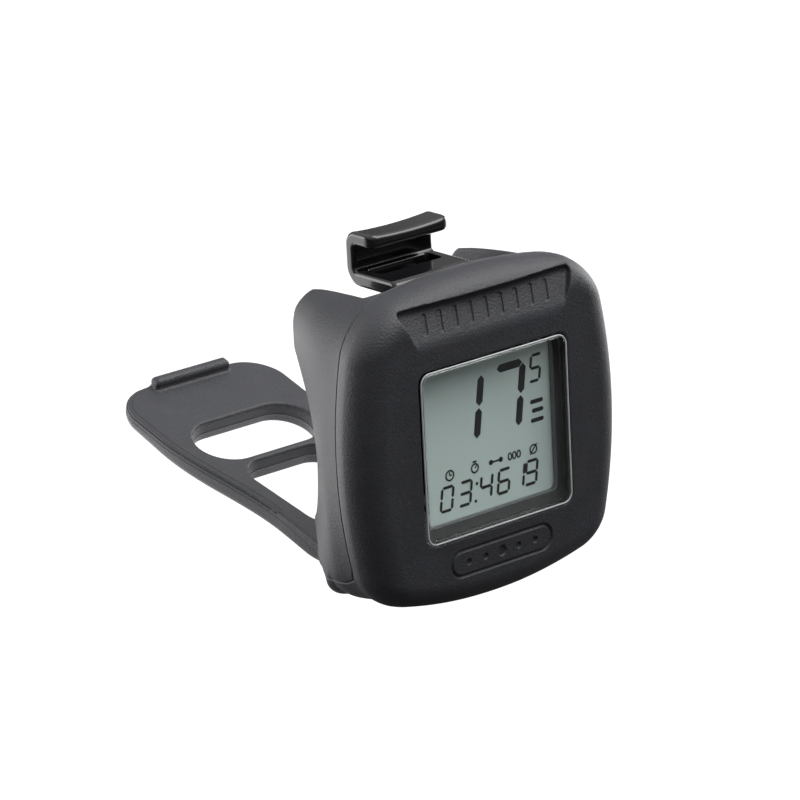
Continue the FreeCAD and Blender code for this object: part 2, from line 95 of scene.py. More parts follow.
RIM_HALF_W = 23.6
RIM_TOP = 23.6
RIM_LOW = -22.6
RIM_ROLL = 4.4
SIDE_R, TOP_R, LOW_R = 69.8, 86.0, 66.6
UPPER_CORNER, LOWER_CORNER = 5.5, 3.6
RIDGE_Y, RIDGE_HALF_W = 12.4, 20.9   # where each side turns in towards the handlebar
EAR_BACK = 23.8
BASE_Z = -23.4
ROOT_FILLET = 3.0
SADDLE_END = math.radians(242)   # about the handlebar's axis, from +Y towards +Z

NOTCH_HALF_W, NOTCH_FRONT, NOTCH_FLOOR = 13.8, 7.8, 18.4
FACET_SLOPE = 0.45
FACET_LOW, FACET_HIGH = 15.9, 21.2
FACET_HALF_W = 13.0
RIB_HALF_W, RIB_HALF_T, RIB_HIGH = 6.8, 0.95, 1.6
RIB_S = STRAP_END - 1.4

LENS_HALF_W, LENS_HALF_H = 13.0, 12.1
LENS_CORNER = 1.5
LENS_ROLL = 0.55
LENS_BACK = 2.65
EDGE_R = 0.13
LCD_FRONT = 3.4

HOOK_HALF_W = 7.2
HOOK_FRONT, HOOK_BACK = 11.0, 22.0
HOOK_LOW, HOOK_HIGH = 19.4, 26.85
MOUTH_LOW, MOUTH_HIGH, MOUTH_BACK = 21.6, 25.2, 20.1
LIP_FRONT = 15.8

# The rooms in the sleeve, as half width, low, high, corner, front and back
CASE_ROOM = (19.1, -18.7, 17.3, 5.1, 1.3, 11.1)
DRUM_ROOM = (14.4, -13.7, 14.5, 4.1, 10.0, 16.5)
FOOT_ROOM = (7.4, 12.0, 17.1, 0.2, 10.0, 16.6)
STEM_ROOM = (7.4, 12.0, 26.0, 0.2, 10.9, 13.0)

CELL = 0.28


def to_row(x, y, z):
    """A point of the face frame, in mm, as a point of the row frame, in metres."""
    return FACE_ORIGIN + Vector((x, y, z)) * MM


# ---------------------------------------------------------------------------
# Distance fields: negative inside, in mm
# ---------------------------------------------------------------------------
def both(a, b, r):
    """Intersection whose edge is rounded with radius r."""
    return np.minimum(np.maximum(a, b), -r) + np.hypot(np.maximum(a + r, 0), np.maximum(b + r, 0))


def either(a, b, r):
    """Union whose inner corner is filled with radius r."""
    return np.maximum(np.minimum(a, b), r) - np.hypot(np.maximum(r - a, 0), np.maximum(r - b, 0))


def ramp(a, b, t):
    """0 before a, 1 after b, smooth between."""
    u = np.clip((t - a) / (b - a), 0, 1)
    return u * u * (3 - 2 * u)


def soft_min(a, b, k):
    """The lower of two values, with a smooth change between them."""
    return 0.5 * (a + b - np.sqrt((a - b) ** 2 + k * k))


def round_rect(x, z, half_w, low, high, r):
    """Rectangle with rounded corners."""
    dx = np.abs(x) - half_w + r
    dz = np.abs(z - (low + high) / 2) - (high - low) / 2 + r
    return np.hypot(np.maximum(dx, 0), np.maximum(dz, 0)) + np.minimum(np.maximum(dx, dz), 0) - r


def strap_coords(y, z):
    """Length along the strap from the bar's tangent point, and height above its upper face."""
    s = (y - STRAP_Y) * STRAP_COS + (z - STRAP_Z) * STRAP_SIN
    h = (z - STRAP_Z) * STRAP_COS - (y - STRAP_Y) * STRAP_SIN
    return s, h


def from_strap(s, h):
    """y and z of a point of the strap."""
    return STRAP_Y + s * STRAP_COS - h * STRAP_SIN, STRAP_Z + s * STRAP_SIN + h * STRAP_COS


def head_sides(x, y, z):
    """The head's curved sides and crown, as it narrows towards the handlebar."""
    front = RIM_HALF_W - 0.75 * ramp(4.0, 7.5, y) - 0.296 * np.maximum(y - 6.0, 0)
    rear = RIDGE_HALF_W - (0.66 - 0.22 * ramp(-4, 12, z)) * (y - RIDGE_Y)
    half = soft_min(front, rear, 0.5)
    bow = 1 - 0.8 * ramp(7, 20, y)
    top = RIM_TOP - 0.9 * ramp(5, 10.5, y) - 0.085 * np.maximum(y - 8, 0)
    side = np.hypot(np.abs(x) + (SIDE_R - half), bow * (z - 0.85)) - SIDE_R
    crown = np.hypot(x, z - (top - TOP_R)) - TOP_R
    return side, crown


def head_outline(x, y, z):
    """The head seen from the front."""
    side, crown = head_sides(x, y, z)
    return both(side, crown, UPPER_CORNER)


def head_low(x, y, z):
    """The head's lower edge."""
    low = RIM_LOW - 0.3 * ramp(2, 7, y) - 0.6 * ramp(7, 13, y) - 1.2 * np.maximum(y - 15, 0)
    return np.hypot(x, z - (low + LOW_R)) - LOW_R


def strap_outline(x, s, h):
    """The strap seen from above. Its walls lean in a little above and below the mould line, and
    its root widens and then ends inside the head."""
    half = 10.5 + 3.55 * ramp(-4, 20.5, s) + 1.4 * ramp(-12, -16, s) - 6.0 * ramp(-16, -21, s)
    lean = 0.10 * np.minimum(np.abs(h + parting_depth(s)), 4)
    return both(np.abs(x) - half, s - (STRAP_END - x * x / (2 * TOP_R)), 5.5) + lean


def parting_depth(s):
    """How far below the strap's upper face its mould line runs."""
    return 1.0 + 0.8 * ramp(-4, -16, s)


def bar_distance(y, z):
    """Distance from the handlebar's axis."""
    return np.hypot(y - BAR_Y, z - BAR_Z)


def notch(x, y, z):
    """The gap between the ears, where the hook stands."""
    half = NOTCH_HALF_W - 0.0769 * (y - NOTCH_FRONT)
    plan = both(np.abs(x) - half, NOTCH_FRONT - y, 2.5)
    floor = NOTCH_FLOOR - 0.03 * np.clip(y - 14.5, 0, 10) ** 2
    return both(plan, floor - z, 0.5)


def facet(x, y, z):
    """The sloping recess across the top of the face."""
    steep = 1 / math.hypot(1, FACET_SLOPE)
    floor = (y - FACET_SLOPE * (z - FACET_LOW)) * steep
    sides = (np.abs(x) - (FACET_HALF_W + 0.53 * (z - FACET_LOW))) * 0.88
    return both(both(floor, sides, 0.35), z - FACET_HIGH, 1.2)


def room(x, y, z, half_w, low, high, corner, front, back):
    """A block with rounded corners, from front to back."""
    return np.maximum(round_rect(x, z, half_w, low, high, corner),
                      np.maximum(front - y, y - back))


def module_space(x, y, z):
    """The rooms for the electronic module and the hook's stem, and the opening for the lens."""
    case, drum = room(x, y, z, *CASE_ROOM), room(x, y, z, *DRUM_ROOM)
    foot, stem = room(x, y, z, *FOOT_ROOM), room(x, y, z, *STEM_ROOM)
    gap = 0.25
    window = np.maximum(round_rect(x, z, LENS_HALF_W + gap, -LENS_HALF_H - gap,
                                   LENS_HALF_H + gap, 1.7), y - 3)
    return np.minimum(np.minimum(case, drum), np.minimum(foot, stem)), window


def slots(x, s, h):
    """The strap's two slots, wider at both faces than half way down."""
    waist = 0.12 * np.abs(h + STRAP_T / 2)
    near = both(np.abs(x) - (6.3 + 0.103 * (s + 9.4)), np.abs(s + 0.2) - 9.2, 4.0)
    far = round_rect(x, s, 10.1, 10.6, 20.3, 4.84)
    band = np.abs(h - 0.5) - 6
    return np.maximum(near - waist, band), np.maximum(far - waist, band)


def sleeve(x, y, z):
    """The whole silicone moulding, without its fine relief. The handlebar's curve cuts its back."""
    s, h = strap_coords(y, z)
    side, crown = head_sides(x, y, z)
    body = both(both(side, crown, UPPER_CORNER), -y, RIM_ROLL)
    rear = y - EAR_BACK - 10 * ramp(4, -6, z)
    body = np.maximum(body, both(side, rear, 1.3))
    body = np.maximum(body, both(crown, rear, 3.5))
    body = both(body, BAR_R - bar_distance(y, z), 0.9)
    past_end = (z - BAR_Z) * math.cos(SADDLE_END) - (y - BAR_Y) * math.sin(SADDLE_END)
    body = np.maximum(body, past_end)
    strap = both(strap_outline(x, s, h), h, 0.4)
    f = either(body, strap, ROOT_FILLET)
    f = both(f, head_low(x, y, z), LOWER_CORNER)
    thick = STRAP_T - (STRAP_T - STRAP_TIP_T) * ramp(9, 31, s)
    under_round = 1.5 + 3.5 * ramp(13, 19, y) - 3.6 * ramp(22, 31, y)
    f = both(f, np.maximum(BASE_Z - z, -(h + thick)), under_round)
    rib = both(np.abs(x) - RIB_HALF_W, np.abs(s - RIB_S) - RIB_HALF_T, 0.5)
    rib = np.maximum(both(rib, h - RIB_HIGH, 0.85), -h - 1)
    f = either(f, rib, 0.5)
    f = both(f, -notch(x, y, z), 0.6)
    f = both(f, -facet(x, y, z), 0.3)
    space, window = module_space(x, y, z)
    f = both(f, -window, 0.35)
    f = both(f, -space, 0.2)
    near, far = slots(x, s, h)
    return both(both(f, -near, 0.45), -far, 0.45)


# ---------------------------------------------------------------------------
# Relief: depth of the fine lines and marks in the silicone
# ---------------------------------------------------------------------------
SEAM = [(7.0, 30.0), (7.0, 0.0), (7.4, -15.0), (8.2, -17.0), (10.5, -18.1), (18.0, -19.5),
        (24.0, -21.0)]     # y and z down the head's side and back towards the strap
TICKS = 9
TICK_PITCH = 2.7
TICK_Z = 18.5
MARK_Z = -16.0
MARK_DOTS = 5
FAR_OFF = 9.0


def seam_distance(y, z):
    """Distance to the mould line of the head's side."""
    best = np.full(np.shape(y), 1e3)
    for (y0, z0), (y1, z1) in zip(SEAM[:-1], SEAM[1:]):
        dy, dz = y1 - y0, z1 - z0
        t = np.clip(((y - y0) * dy + (z - z0) * dz) / (dy * dy + dz * dz), 0, 1)
        best = np.minimum(best, np.hypot(y - y0 - t * dy, z - z0 - t * dz))
    return best


def line_depth(distance, depth, width):
    """Depth of a round-bottomed groove at a distance from its middle."""
    return depth * np.exp(-(distance / width) ** 2)


def mark_distance(x, z):
    """A lozenge round a row of dots, below the lens: negative inside a line or a dot."""
    best = np.abs(round_rect(x, z - MARK_Z, 9.0, -1.8, 1.8, 1.75)) - 0.24
    middle = MARK_DOTS // 2
    for i in range(MARK_DOTS):
        size = 0.75 if i == middle else 0.45
        best = np.minimum(best, np.hypot(x - 3.0 * (i - middle), z - MARK_Z) - size)
    return best


def tick_distance(x, z):
    """A row of slanted ticks in the facet: negative inside a tick."""
    best = np.full(np.shape(x), 1e3)
    for i in range(TICKS):
        across = np.abs(x - TICK_PITCH * (i - (TICKS - 1) / 2) - 0.22 * (z - TICK_Z)) - 0.42
        best = np.minimum(best, both(across, np.abs(z - TICK_Z) - 1.35, 0.3))
    return best


def relief_zones(x, y, z):
    """Distances to the strap's edge and to each line, and where on the moulding each line runs."""
    s, h = strap_coords(y, z)
    edge = strap_outline(x, s, h)
    near, far = slots(x, s, h)
    seam = ((head_outline(x, y, z) > -1.6) & (y < 24.5) & (y > 5), seam_distance(y, z))
    parting = ((edge > -0.6) & (s > -15), h + parting_depth(s))
    step = ((np.abs(h) < 0.5) & (s > -3), edge)
    in_slot = (np.abs(np.minimum(near, far)) < 0.5) & (s > -8) & (np.abs(x) < 13)
    ridge = (in_slot, h + STRAP_T / 2)
    mark = ((y < 1.2) & (z < -13), mark_distance(x, z))
    on_facet = (np.abs(y - FACET_SLOPE * (z - FACET_LOW)) < 0.5) & (z > FACET_LOW)
    return seam, parting, step, ridge, mark, (on_facet, tick_distance(x, z))


def relief(x, y, z):
    """How deep the surface is sunk at a point of it."""
    seam, parting, step, ridge, mark, tick = relief_zones(x, y, z)
    depth = np.where(seam[0], line_depth(seam[1], 0.22, 0.13), 0)
    depth = np.maximum(depth, np.where(parting[0], line_depth(parting[1], 0.12, 0.10), 0))
    depth += np.where(step[0], 0.14 * ramp(-0.95, -0.75, step[1]), 0)
    depth -= np.where(ridge[0], line_depth(ridge[1], 0.08, 0.10), 0)
    depth += np.where(mark[0], 0.28 * ramp(0.06, -0.10, mark[1]), 0)
    depth += np.where(tick[0] & (z < FACET_HIGH - 0.6), 0.22 * ramp(0.06, -0.10, tick[1]), 0)
    return depth


def near_relief(x, y, z):
    """Distance to the nearest fine line or mark, for refining the mesh there."""
    seam, parting, step, ridge, mark, tick = relief_zones(x, y, z)
    best = np.where(seam[0], seam[1], FAR_OFF)
    for zone, distance in (parting, (step[0], step[1] + 0.85), ridge, mark, tick):
        best = np.minimum(best, np.where(zone, np.abs(distance), FAR_OFF))
    return best


# ---------------------------------------------------------------------------
# From a field to a mesh
# ---------------------------------------------------------------------------
def gradient(field, p, eps):
    """Gradient of the field at points p, an n by 3 array."""
    g = np.empty_like(p)
    for k in range(3):
        step = np.zeros(3)
        step[k] = eps
        g[:, k] = (field(*(p + step).T) - field(*(p - step).T)) / (2 * eps)
    return g


def onto_surface(field, p, rounds):
    """Moves points along the gradient until the field is zero."""
    for _ in range(rounds):
        g = gradient(field, p, 0.02)
        step = field(*p.T) / np.maximum((g * g).sum(1), 0.2)
        p = p - np.clip(step, -0.4, 0.4)[:, None] * g
    return p


def surface_net(values, axes):
    """Quads of the zero surface of a field given on a lattice: one vertex in each cell it crosses."""
    inside = values < 0
    cells = tuple(n - 1 for n in values.shape)
    total = np.zeros((int(np.prod(cells)), 3))
    count = np.zeros(len(total))
    loops = []
    for axis in range(3):
        u, v = [k for k in range(3) if k != axis]
        low = [slice(None)] * 3
        high = [slice(None)] * 3
        low[axis], high[axis] = slice(None, -1), slice(1, None)
        crossing = np.argwhere(inside[tuple(low)] != inside[tuple(high)])
        first = values[tuple(low)][tuple(crossing.T)]
        second = values[tuple(high)][tuple(crossing.T)]
        t = first / (first - second)
        point = np.stack([axes[k][crossing[:, k]] for k in range(3)], 1).astype(float)
        step = axes[axis][crossing[:, axis] + 1] - axes[axis][crossing[:, axis]]
        point[:, axis] += t * step
        corner_ids = []
        usable = np.ones(len(crossing), bool)
        for du, dv in ((0, 0), (-1, 0), (-1, -1), (0, -1)):
            c = crossing.copy()
            c[:, u] += du
            c[:, v] += dv
            ok = (c[:, u] >= 0) & (c[:, u] < cells[u]) & (c[:, v] >= 0) & (c[:, v] < cells[v])
            usable &= ok
            ids = np.where(ok, (c[:, 0] * cells[1] + c[:, 1]) * cells[2] + c[:, 2], 0)
            corner_ids.append(ids)
            good = ids[ok]
            count += np.bincount(good, minlength=len(total))
            for k in range(3):
                total[:, k] += np.bincount(good, weights=point[ok, k], minlength=len(total))
        quad = np.stack(corner_ids, 1)[usable]
        outward = first[usable] < 0
        if axis == 1:
            outward = ~outward
        quad[~outward] = quad[~outward][:, ::-1]
        loops.append(quad)
    used = np.flatnonzero(count > 0)
    new_id = np.full(len(total), -1)
    new_id[used] = np.arange(len(used))
    return total[used] / count[used][:, None], new_id[np.concatenate(loops)]


def raw_mesh(name, points, faces):
    """A mesh with these points (mm, face frame) and faces, in the row frame."""
    mesh = bpy.data.meshes.new(name)
    row = points * MM + np.array(FACE_ORIGIN)
    mesh.from_pydata(row.tolist(), [], faces)
    mesh.update()
    return mesh


def mesh_points(mesh):
    """A mesh's vertices in the face frame, in mm."""
    co = np.empty(len(mesh.vertices) * 3)
    mesh.vertices.foreach_get("co", co)
    return (co.reshape(-1, 3) - np.array(FACE_ORIGIN)) / MM


def set_points(mesh, points):
    """Moves a mesh's vertices to these points of the face frame."""
    mesh.vertices.foreach_set("co", (points * MM + np.array(FACE_ORIGIN)).ravel())
    mesh.update()


def shade_by_field(mesh, field):
    """Gives the mesh the field's own normals, so pieces cut from one surface match at the cut."""
    mesh.polygons.foreach_set("use_smooth", [True] * len(mesh.polygons))
    g = gradient(field, mesh_points(mesh), 0.03)
    g /= np.maximum(np.linalg.norm(g, axis=1), 1e-9)[:, None]
    mesh.normals_split_custom_set_from_vertices(g.tolist())


def face_outward(mesh):
    """Turns every face of a closed mesh outward."""
    bm = bmesh.new()
    bm.from_mesh(mesh)
    bmesh.ops.recalc_face_normals(bm, faces=bm.faces)
    bm.to_mesh(mesh)
    bm.free()


def add_object(mesh, material):
    """An object in the scene with this mesh and material."""
    obj = bpy.data.objects.new(mesh.name, mesh)
    bpy.context.scene.collection.objects.link(obj)
    mesh.materials.append(material)
    return obj


# ---------------------------------------------------------------------------
# Materials
# ---------------------------------------------------------------------------
def surface(name, color, rough, metallic=0.0, ior=1.46, grain=2500.0, grain_depth=0.00002,
            spread=0.25, rough_spread=0.06, coat=0.0):
    """A procedural finish: base colour, roughness and height vary with noise at the grain's size."""
    material = bpy.data.materials.new(name)
    material.use_nodes = True
    nodes, links = material.node_tree.nodes, material.node_tree.links
    shader = nodes["Principled BSDF"]
    shader.inputs["Metallic"].default_value = metallic
    shader.inputs["IOR"].default_value = ior
    shader.inputs["Coat Weight"].default_value = coat
    place = nodes.new("ShaderNodeTexCoord")
    fine = nodes.new("ShaderNodeTexNoise")
    fine.inputs["Scale"].default_value = grain
    fine.inputs["Detail"].default_value = 3.0
    broad = nodes.new("ShaderNodeTexNoise")
    broad.inputs["Scale"].default_value = grain / 14
    broad.inputs["Detail"].default_value = 4.0
    for noise in (fine, broad):
        links.new(place.outputs["Object"], noise.inputs["Vector"])
    tint = nodes.new("ShaderNodeMix")
    tint.data_type = "RGBA"
    dark = [c * (1 - spread) for c in color]
    light = [min(c * (1 + spread), 1) for c in color]
    tint.inputs["A"].default_value = (*dark, 1)
    tint.inputs["B"].default_value = (*light, 1)
    blend_noise = nodes.new("ShaderNodeMath")
    blend_noise.operation = "MULTIPLY_ADD"
    blend_noise.inputs[1].default_value = 0.6
    links.new(fine.outputs["Fac"], blend_noise.inputs[0])
    share = nodes.new("ShaderNodeMath")
    share.operation = "MULTIPLY"
    share.inputs[1].default_value = 0.4
    links.new(broad.outputs["Fac"], share.inputs[0])
    links.new(share.outputs[0], blend_noise.inputs[2])
    links.new(blend_noise.outputs[0], tint.inputs["Factor"])
    links.new(tint.outputs["Result"], shader.inputs["Base Color"])
    rough_map = nodes.new("ShaderNodeMapRange")
    rough_map.inputs["To Min"].default_value = max(rough - rough_spread, 0.02)
    rough_map.inputs["To Max"].default_value = rough + rough_spread
    links.new(blend_noise.outputs[0], rough_map.inputs["Value"])
    links.new(rough_map.outputs["Result"], shader.inputs["Roughness"])
    bump = nodes.new("ShaderNodeBump")
    bump.inputs["Strength"].default_value = 1.0
    bump.inputs["Distance"].default_value = grain_depth
    links.new(fine.outputs["Fac"], bump.inputs["Height"])
    links.new(bump.outputs["Normal"], shader.inputs["Normal"])
    return material


def clear_surface(name, color, ior):
    """Clear polished plastic or glass, which lets light pass straight to what lies behind it."""
    material = bpy.data.materials.new(name)
    material.use_nodes = True
    nodes, links = material.node_tree.nodes, material.node_tree.links
    shader = nodes["Principled BSDF"]
    shader.inputs["Base Color"].default_value = (*color, 1)
    shader.inputs["IOR"].default_value = ior
    shader.inputs["Transmission Weight"].default_value = 1.0
    place = nodes.new("ShaderNodeTexCoord")
    haze = nodes.new("ShaderNodeTexNoise")
    haze.inputs["Scale"].default_value = 300.0
    links.new(place.outputs["Object"], haze.inputs["Vector"])
    haze_map = nodes.new("ShaderNodeMapRange")
    haze_map.inputs["To Min"].default_value = 0.0
    haze_map.inputs["To Max"].default_value = 0.02
    links.new(haze.outputs["Fac"], haze_map.inputs["Value"])
    links.new(haze_map.outputs["Result"], shader.inputs["Roughness"])
    through = nodes.new("ShaderNodeBsdfTransparent")
    through.inputs["Color"].default_value = (0.92, 0.93, 0.92, 1)
    path = nodes.new("ShaderNodeLightPath")
    mix = nodes.new("ShaderNodeMixShader")
    links.new(path.outputs["Is Shadow Ray"], mix.inputs["Fac"])
    links.new(shader.outputs["BSDF"], mix.inputs[1])
    links.new(through.outputs["BSDF"], mix.inputs[2])
    links.new(mix.outputs["Shader"], nodes["Material Output"].inputs["Surface"])
    return material


FINISHES = {
    "silicone": surface("silicone", (0.031, 0.032, 0.038), 0.50, ior=1.5, grain=3800,
                        grain_depth=0.00009, spread=0.6),
    "hook_gloss": surface("hook_gloss", (0.006, 0.006, 0.007), 0.16, grain=900,
                          grain_depth=0.000003, spread=0.2, rough_spread=0.04, coat=0.3),
    # painted light: the case's black plastic is made mid grey so the shaded band seen through the
    # lens beside the display reads lighter
    "case_black": surface("case_black", (0.13, 0.13, 0.14), 0.5, grain=4000),
    "seal_rubber": surface("seal_rubber", (0.030, 0.030, 0.030), 0.7),
    "steel": surface("steel", (0.62, 0.62, 0.64), 0.32, metallic=1, grain=5000, spread=0.1,
                     grain_depth=0.000006),
    "lens_clear": clear_surface("lens_clear", (0.97, 0.985, 0.98), 1.49),
    # painted light: the black foam tape is made mid grey so the shaded band round the display reads
    # lighter
    "tape_black": surface("tape_black", (0.22, 0.23, 0.235), 0.5, grain=2000, spread=0.15),
    "lcd_film": surface("lcd_film", (0.56, 0.66, 0.64), 0.45, grain=1500, spread=0.02,
                        grain_depth=0.000002),
    "lcd_glass": clear_surface("lcd_glass", (0.93, 0.965, 0.95), 1.5),
    "holder_white": surface("holder_white", (0.78, 0.78, 0.75), 0.5, spread=0.05),
    "board_green": surface("board_green", (0.02, 0.16, 0.07), 0.35, grain=1800),
    "chip_black": surface("chip_black", (0.04, 0.04, 0.04), 0.55),
    "coil_copper": surface("coil_copper", (0.55, 0.25, 0.12), 0.3, metallic=0.9, grain=6000),
    "button_grey": surface("button_grey", (0.25, 0.25, 0.26), 0.5, spread=0.1),
    "cell_nickel": surface("cell_nickel", (0.66, 0.66, 0.67), 0.28, metallic=1, spread=0.06,
                           grain_depth=0.000005),
    "contact_brass": surface("contact_brass", (0.75, 0.60, 0.30), 0.3, metallic=1, spread=0.1),
}
# painted highlight: the light grey ring round the lens's front stands in for the bright line of light
# along its edge
EDGE = surface("lens_edge", (0.50, 0.52, 0.52), 0.16, grain=1200, spread=0.2, grain_depth=0.00003)
INK = surface("lcd_ink", (0.006, 0.007, 0.008), 0.45, grain=1500, spread=0.1,
              grain_depth=0.000001)

for part in frame["record"]["subparts"]:
    node = frame["nodes"][part["node"]]
    node.data.materials.clear()
    node.data.materials.append(FINISHES[part["material_slot"]])


# ---------------------------------------------------------------------------
# Silicone sleeve and strap
# ---------------------------------------------------------------------------
def refine(mesh, reaches):
    """Splits the edges that lie near the relief, once for each reach in mm."""
    for reach in reaches:
        bm = bmesh.new()
        bm.from_mesh(mesh)
        distance = near_relief(*mesh_points(mesh).T)
        picked = distance < reach
        bm.verts.ensure_lookup_table()
        edges = [e for e in bm.edges if picked[e.verts[0].index] or picked[e.verts[1].index]]
        bmesh.ops.subdivide_edges(bm, edges=edges, cuts=1, use_grid_fill=True)
        bm.to_mesh(mesh)
        bm.free()
        set_points(mesh, onto_surface(sleeve, mesh_points(mesh), 1))


def silicone_mesh():
    """The whole moulding as one surface."""
    count = int(24.5 / CELL)
    half_x = (np.arange(count) + 0.5) * CELL
    s_axis = np.arange(-41.5, 34.0, CELL)
    h_axis = np.arange(-6.5, 50.5, CELL)
    s, h = np.meshgrid(s_axis, h_axis, indexing="ij")
    y, z = from_strap(s, h)
    half = np.empty((count, len(s_axis), len(h_axis)), np.float32)
    for i, x in enumerate(half_x):
        half[i] = sleeve(np.full(y.shape, x, np.float32), y.astype(np.float32),
                         z.astype(np.float32))
    values = np.concatenate([half[::-1], half])
    x_axis = np.concatenate([-half_x[::-1], half_x])
    points, faces = surface_net(values, (x_axis, s_axis, h_axis))
    y, z = from_strap(points[:, 1], points[:, 2])
    points = onto_surface(sleeve, np.stack([points[:, 0], y, z], 1), 4)
    mesh = raw_mesh("silicone_all", points, faces.tolist())
    refine(mesh, (0.65, 0.3))
    return mesh


BEYOND = 90.0    # past the moulding, either way along the strap


def cut_between(source, name, low, high):
    """The stretch of the moulding between two stations of the strap, open at the cuts."""
    bm = bmesh.new()
    bm.from_mesh(source)
    points = mesh_points(source)
    s = strap_coords(points[:, 1], points[:, 2])[0]
    away = (s < low - 1.5) | (s > high + 1.5)
    bm.verts.ensure_lookup_table()
    bmesh.ops.delete(bm, geom=[v for v in bm.verts if away[v.index]], context="VERTS")
    along = Vector((0, STRAP_COS, STRAP_SIN))
    for station, outward in ((low, -1), (high, 1)):
        if abs(station) == BEYOND:
            continue
        spot = to_row(0, *from_strap(station, 0))
        geometry = bm.verts[:] + bm.edges[:] + bm.faces[:]
        bmesh.ops.bisect_plane(bm, geom=geometry, dist=1e-8, plane_co=spot,
                               plane_no=along * outward, clear_outer=True)
    mesh = bpy.data.meshes.new(name)
    bm.to_mesh(mesh)
    bm.free()
    points = mesh_points(mesh)
    normal = gradient(sleeve, points, 0.03)
    normal /= np.maximum(np.linalg.norm(normal, axis=1), 1e-9)[:, None]
    set_points(mesh, points - normal * relief(*points.T)[:, None])
    shade_by_field(mesh, lambda x, y, z: sleeve(x, y, z) + relief(x, y, z))
    return mesh


whole = silicone_mesh()
head_skin = add_object(cut_between(whole, "sleeve_moulding", -BEYOND, 0), FINISHES["silicone"])
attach(head_skin, "head")
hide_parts("silicone_sleeve")
for i in range(BENDS):
    low, high = i * BEND_PITCH, (i + 1) * BEND_PITCH
    skin = add_object(cut_between(whole, "strap_moulding_%d" % (i + 1), low, high),
                      FINISHES["silicone"])
    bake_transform(skin)
    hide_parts("strap_link_%d" % (i + 1))
tip = add_object(cut_between(whole, "strap_tip", BENDS * BEND_PITCH, BEYOND),
                 FINISHES["silicone"])
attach(tip, "strap_%d" % BENDS)
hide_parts("strap_link_%d" % BENDS)
bpy.data.meshes.remove(whole)


# ---------------------------------------------------------------------------
# Hook
# ---------------------------------------------------------------------------
def hook(x, y, z):
    """The gloss hook: a foot under the sleeve, a stem, a plate with a window, and a forward lip."""
    lip_top = HOOK_HIGH + 0.35 * (x / HOOK_HALF_W) ** 2
    f = both(both(y - HOOK_BACK, HOOK_LOW - z, 2.8), z - lip_top, 2.0)
    f = both(f, HOOK_FRONT - y, 0.3)
    mouth = both(both(y - MOUTH_BACK, MOUTH_LOW - z, 0.5), z - MOUTH_HIGH, 0.5)
    above = np.maximum(y - 16.0, 23.0 - z)
    below = np.maximum(y - 19.0, np.maximum(MOUTH_LOW - z, z - 24.5))
    f = both(f, -np.minimum(either(mouth, above, 0.6), below), 0.9)
    f = np.where(y < 14, np.maximum(f, both(HOOK_FRONT - y, z - MOUTH_LOW, 1.6)), f)
    stem = np.maximum(np.abs(y - 12.0) - 0.9, np.abs(z - 17.5) - 3.1)
    foot = np.maximum(np.abs(y - 13.6) - 2.6, np.abs(z - 15.2) - 0.8)
    f = either(f, stem, 0.5)
    f = np.minimum(f, foot)
    lip_front = np.where(z > 23.5, LIP_FRONT - y, -9.0)
    f = both(f, both(np.abs(x) - HOOK_HALF_W, lip_front, 2.0), 0.7)
    window = np.maximum(round_rect(x, y, 5.4, 16.3, 19.5, 0.6), np.abs(z - 20.5) - 2.5)
    f = both(f, -window, 0.3)
    screws = np.maximum(np.hypot(np.abs(x) - 4.5, y - 14.8) - 0.85, np.abs(z - 15) - 1.5)
    return np.maximum(f, -screws)


def hook_mesh():
    """The hook's surface."""
    step = 0.15
    axes = (np.arange(-7.8, 7.81, step), np.arange(10.5, 22.3, step), np.arange(14.0, 27.9, step))
    grid = np.meshgrid(*axes, indexing="ij")
    points, faces = surface_net(hook(*grid), axes)
    mesh = raw_mesh("hook_body", onto_surface(hook, points, 4), faces.tolist())
    shade_by_field(mesh, hook)
    return mesh


hook_body = add_object(hook_mesh(), FINISHES["hook_gloss"])
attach(hook_body, "head")
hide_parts("strap_hook")


# ---------------------------------------------------------------------------
# Lens
# ---------------------------------------------------------------------------
def rounded_loop(half_w, half_h, r, steps=10):
    """Points round a rectangle with rounded corners."""
    loop = []
    for corner, (sx, sz) in enumerate(((1, 1), (-1, 1), (-1, -1), (1, -1))):
        for i in range(steps + 1):
            a = math.pi / 2 * (corner + i / steps)
            loop.append((sx * (half_w - r) + r * math.cos(a), sz * (half_h - r) + r * math.sin(a)))
    return loop


def lens_mesh():
    """A clear block with a rolled front edge."""
    chamfer, steps = 0.12, 6
    profile = [(chamfer, LENS_BACK), (0.0, LENS_BACK - chamfer)]
    for i in range(steps + 1):
        a = math.pi / 2 * i / steps
        profile.append((LENS_ROLL * (1 - math.cos(a)), -LENS_PROUD + LENS_ROLL * (1 - math.sin(a))))
    points, faces = [], []
    for inset, y in profile:
        for x, z in rounded_loop(LENS_HALF_W - inset, LENS_HALF_H - inset, LENS_CORNER - inset):
            points.append((x, y, z))
    n = len(points) // len(profile)
    for ring in range(len(profile) - 1):
        for i in range(n):
            a, b = ring * n + i, ring * n + (i + 1) % n
            faces.append((a, b, b + n, a + n))
    faces.append(tuple(range(n - 1, -1, -1)))
    faces.append(tuple(range(len(points) - n, len(points))))
    mesh = raw_mesh("lens_block", np.array(points), faces)
    face_outward(mesh)
    mesh.polygons.foreach_set("use_smooth", [len(p.vertices) == 4 for p in mesh.polygons])
    return mesh


